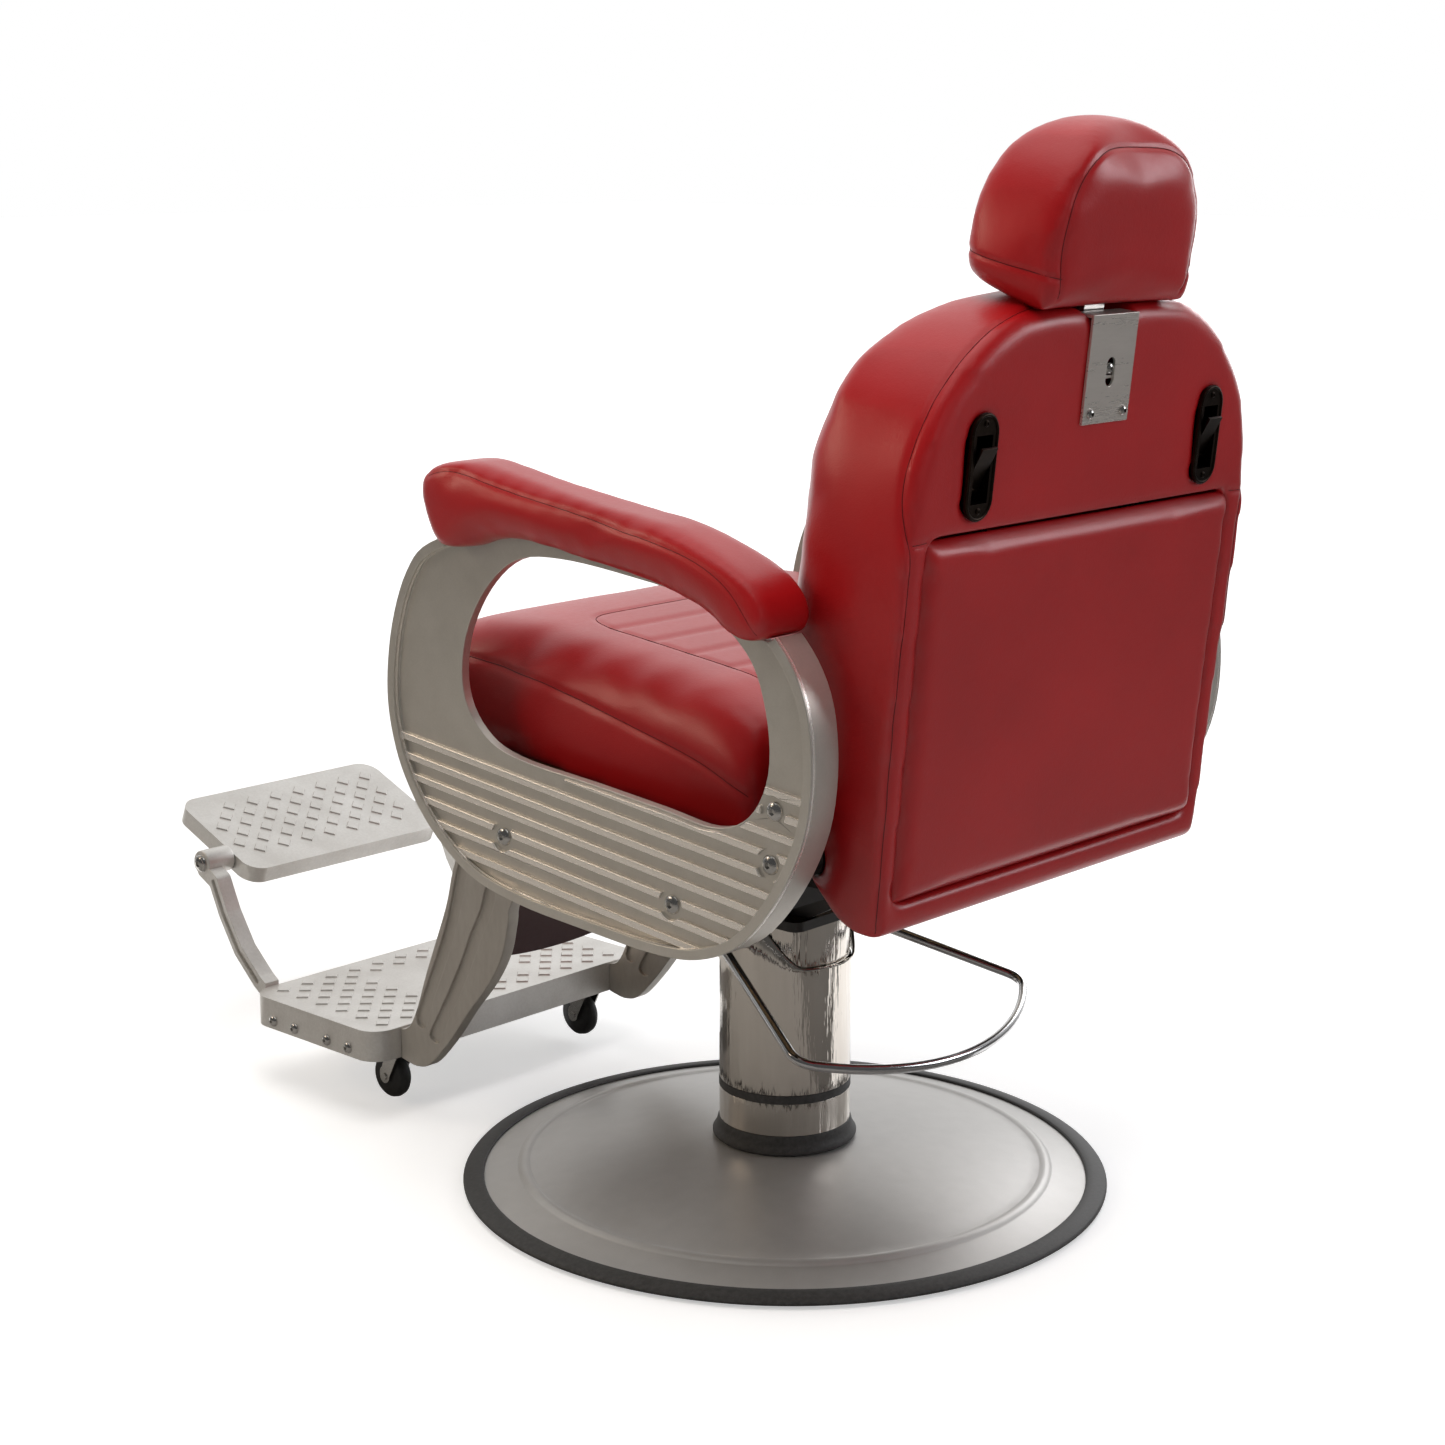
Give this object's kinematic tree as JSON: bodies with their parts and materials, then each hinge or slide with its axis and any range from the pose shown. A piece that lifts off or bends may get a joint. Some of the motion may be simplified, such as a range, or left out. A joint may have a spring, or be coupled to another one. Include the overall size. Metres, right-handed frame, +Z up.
{
  "type": "hydraulic_barber_chair",
  "caption": "Barber chair: round weighted base, hydraulic column, cast side panels, red padded seat, reclining back, sliding headrest, swinging footrest with folding step.",
  "frame": {"origin": "On the floor, on the axis of the hydraulic column, in the middle of the base.", "axes": "+Z is up, the sitter faces -Y, and +X is the sitter's left."},
  "size_m": [0.694, 1.2984, 1.114],
  "materials": {
    "base_steel": "satin brushed stainless steel sheet",
    "edge_rubber": "moulded black rubber",
    "ballast_iron": "raw cast iron",
    "hub_iron": "painted cast iron",
    "chrome_tube": "polished chrome plate",
    "bolt_steel": "zinc plated steel",
    "pump_steel": "painted steel",
    "gland_brass": "machined brass",
    "ram_chrome": "hard chrome, ground",
    "bearing_steel": "hardened steel",
    "deck_paint": "black paint",
    "frame_paint": "black powder coat",
    "board_wood": "plywood",
    "cast_aluminium": "cast aluminium, clear lacquer",
    "foot_aluminium": "cast aluminium, brushed",
    "red_leather": "soft grained leather, satin",
    "maroon_backing": "moulded backing board",
    "bracket_steel": "satin steel",
    "latch_bronze": "near black bronze",
    "lever_chrome": "polished chrome plate",
    "screw_steel": "bright plated",
    "caster_steel": "plated pressed steel",
    "wheel_rubber": "black rubber tyre"
  },
  "bodies": {
    "base": {"base_disc": "base_steel", "base_trim": "edge_rubber", "base_ballast": "ballast_iron", "base_hub": "hub_iron", "hub_bolts": "bolt_steel", "base_collar": "edge_rubber", "column_skirt": "chrome_tube", "column_ring": "edge_rubber", "inner_tube": "chrome_tube", "pump_cylinder": "pump_steel", "cylinder_gland": "gland_brass"},
    "lift": {"pump_ram": "ram_chrome", "ram_piston": "pump_steel", "thrust_bearing": "bearing_steel"},
    "swivel": {"swivel_socket": "hub_iron", "head_tube": "chrome_tube", "column_sleeve": "chrome_tube", "column_cover": "chrome_tube", "seat_yoke": "deck_paint", "socket_bolts": "bolt_steel", "seat_frame": "frame_paint", "pump_block": "deck_paint", "leg_shaft": "bolt_steel", "recline_brakes": "frame_paint", "hinge_pins": "bolt_steel", "seat_board": "board_wood", "seat_cushion": "red_leather", "side_panel_left": "cast_aluminium", "side_panel_right": "cast_aluminium", "panel_screws": "screw_steel", "arm_pad_left": "red_leather", "arm_pad_right": "red_leather"},
    "pump_lever": {"pump_lever": "lever_chrome"},
    "backrest": {"back_frame": "frame_paint", "back_cushion": "red_leather", "back_upper_panel": "red_leather", "back_lower_panel": "red_leather", "headrest_guide": "frame_paint", "headrest_bracket": "bracket_steel", "latch_bezels": "latch_bronze", "back_screws": "screw_steel", "release_rods": "bolt_steel"},
    "headrest": {"headrest_bar": "bracket_steel", "headrest_pad": "red_leather"},
    "paddle_left": {"paddle_left": "latch_bronze"},
    "paddle_right": {"paddle_right": "latch_bronze"},
    "legrest": {"leg_left": "cast_aluminium", "leg_right": "cast_aluminium", "lower_footplate": "foot_aluminium", "step_arm_left": "foot_aluminium", "step_arm_right": "foot_aluminium", "footrest_screws": "screw_steel", "calf_board": "maroon_backing", "calf_pad": "red_leather"},
    "links": {"link_rods": "frame_paint"},
    "step": {"upper_step": "foot_aluminium"},
    "caster_left": {"caster_fork_left": "caster_steel"},
    "caster_right": {"caster_fork_right": "caster_steel"},
    "wheel_left": {"caster_wheel_left": "wheel_rubber"},
    "wheel_right": {"caster_wheel_right": "wheel_rubber"}
  },
  "joints": [
    {"name": "lift_slide", "type": "slide", "parent": "base", "child": "lift", "axis": [0, 0, 1], "range_m": [0, 0.14]},
    {"name": "chair_swivel", "type": "hinge", "parent": "lift", "child": "swivel", "pos_m": [0, 0, 0.3], "axis": [0, 0, 1], "continuous": true},
    {"name": "lever_pivot", "type": "hinge", "parent": "swivel", "child": "pump_lever", "pos_m": [0, -0.1, 0.3066], "axis": [-1, 0, 0], "range_deg": [0, 20], "stiffness_Nm_per_rad": 10, "springref_deg": -28.65},
    {"name": "back_recline", "type": "hinge", "parent": "swivel", "child": "backrest", "pos_m": [0, 0.25, 0.4499], "axis": [-1, 0, 0], "range_deg": [0, 35]},
    {"name": "legrest_pivot", "type": "hinge", "parent": "swivel", "child": "legrest", "pos_m": [0, -0.19, 0.4399], "axis": [-1, 0, 0], "range_deg": [0, 35]},
    {"name": "link_pivot", "type": "hinge", "parent": "legrest", "child": "links", "pos_m": [0, -0.22, 0.3949], "axis": [-1, 0, 0], "range_deg": [-35, 0]},
    {"name": "headrest_slide", "type": "slide", "parent": "backrest", "child": "headrest", "axis": [0, 0.1045, 0.9945], "range_m": [0, 0.1]},
    {"name": "paddle_pivot_left", "type": "hinge", "parent": "backrest", "child": "paddle_left", "pos_m": [0.178, 0.36984, 0.79124], "axis": [1, 0, 0], "range_deg": [0, 20], "stiffness_Nm_per_rad": 0.3, "springref_deg": -17.19},
    {"name": "paddle_pivot_right", "type": "hinge", "parent": "backrest", "child": "paddle_right", "pos_m": [-0.178, 0.36984, 0.79124], "axis": [1, 0, 0], "range_deg": [0, 20], "stiffness_Nm_per_rad": 0.3, "springref_deg": -17.19},
    {"name": "step_flip", "type": "hinge", "parent": "legrest", "child": "step", "pos_m": [0, -0.77, 0.2399], "axis": [-1, 0, 0], "range_deg": [0, 60]},
    {"name": "caster_swivel_left", "type": "hinge", "parent": "legrest", "child": "caster_left", "pos_m": [0.15, -0.456, 0.09], "axis": [0, 0, 1], "continuous": true},
    {"name": "wheel_spin_left", "type": "hinge", "parent": "caster_left", "child": "wheel_left", "pos_m": [0.15, -0.471, 0.037], "axis": [1, 0, 0], "continuous": true},
    {"name": "caster_swivel_right", "type": "hinge", "parent": "legrest", "child": "caster_right", "pos_m": [-0.15, -0.456, 0.09], "axis": [0, 0, 1], "continuous": true},
    {"name": "wheel_spin_right", "type": "hinge", "parent": "caster_right", "child": "wheel_right", "pos_m": [-0.15, -0.471, 0.037], "axis": [1, 0, 0], "continuous": true}
  ],
  "couplings": [
    {"joint": "legrest_pivot", "follows": "back_recline", "ratio": 1},
    {"joint": "link_pivot", "follows": "back_recline", "ratio": -1}
  ]
}
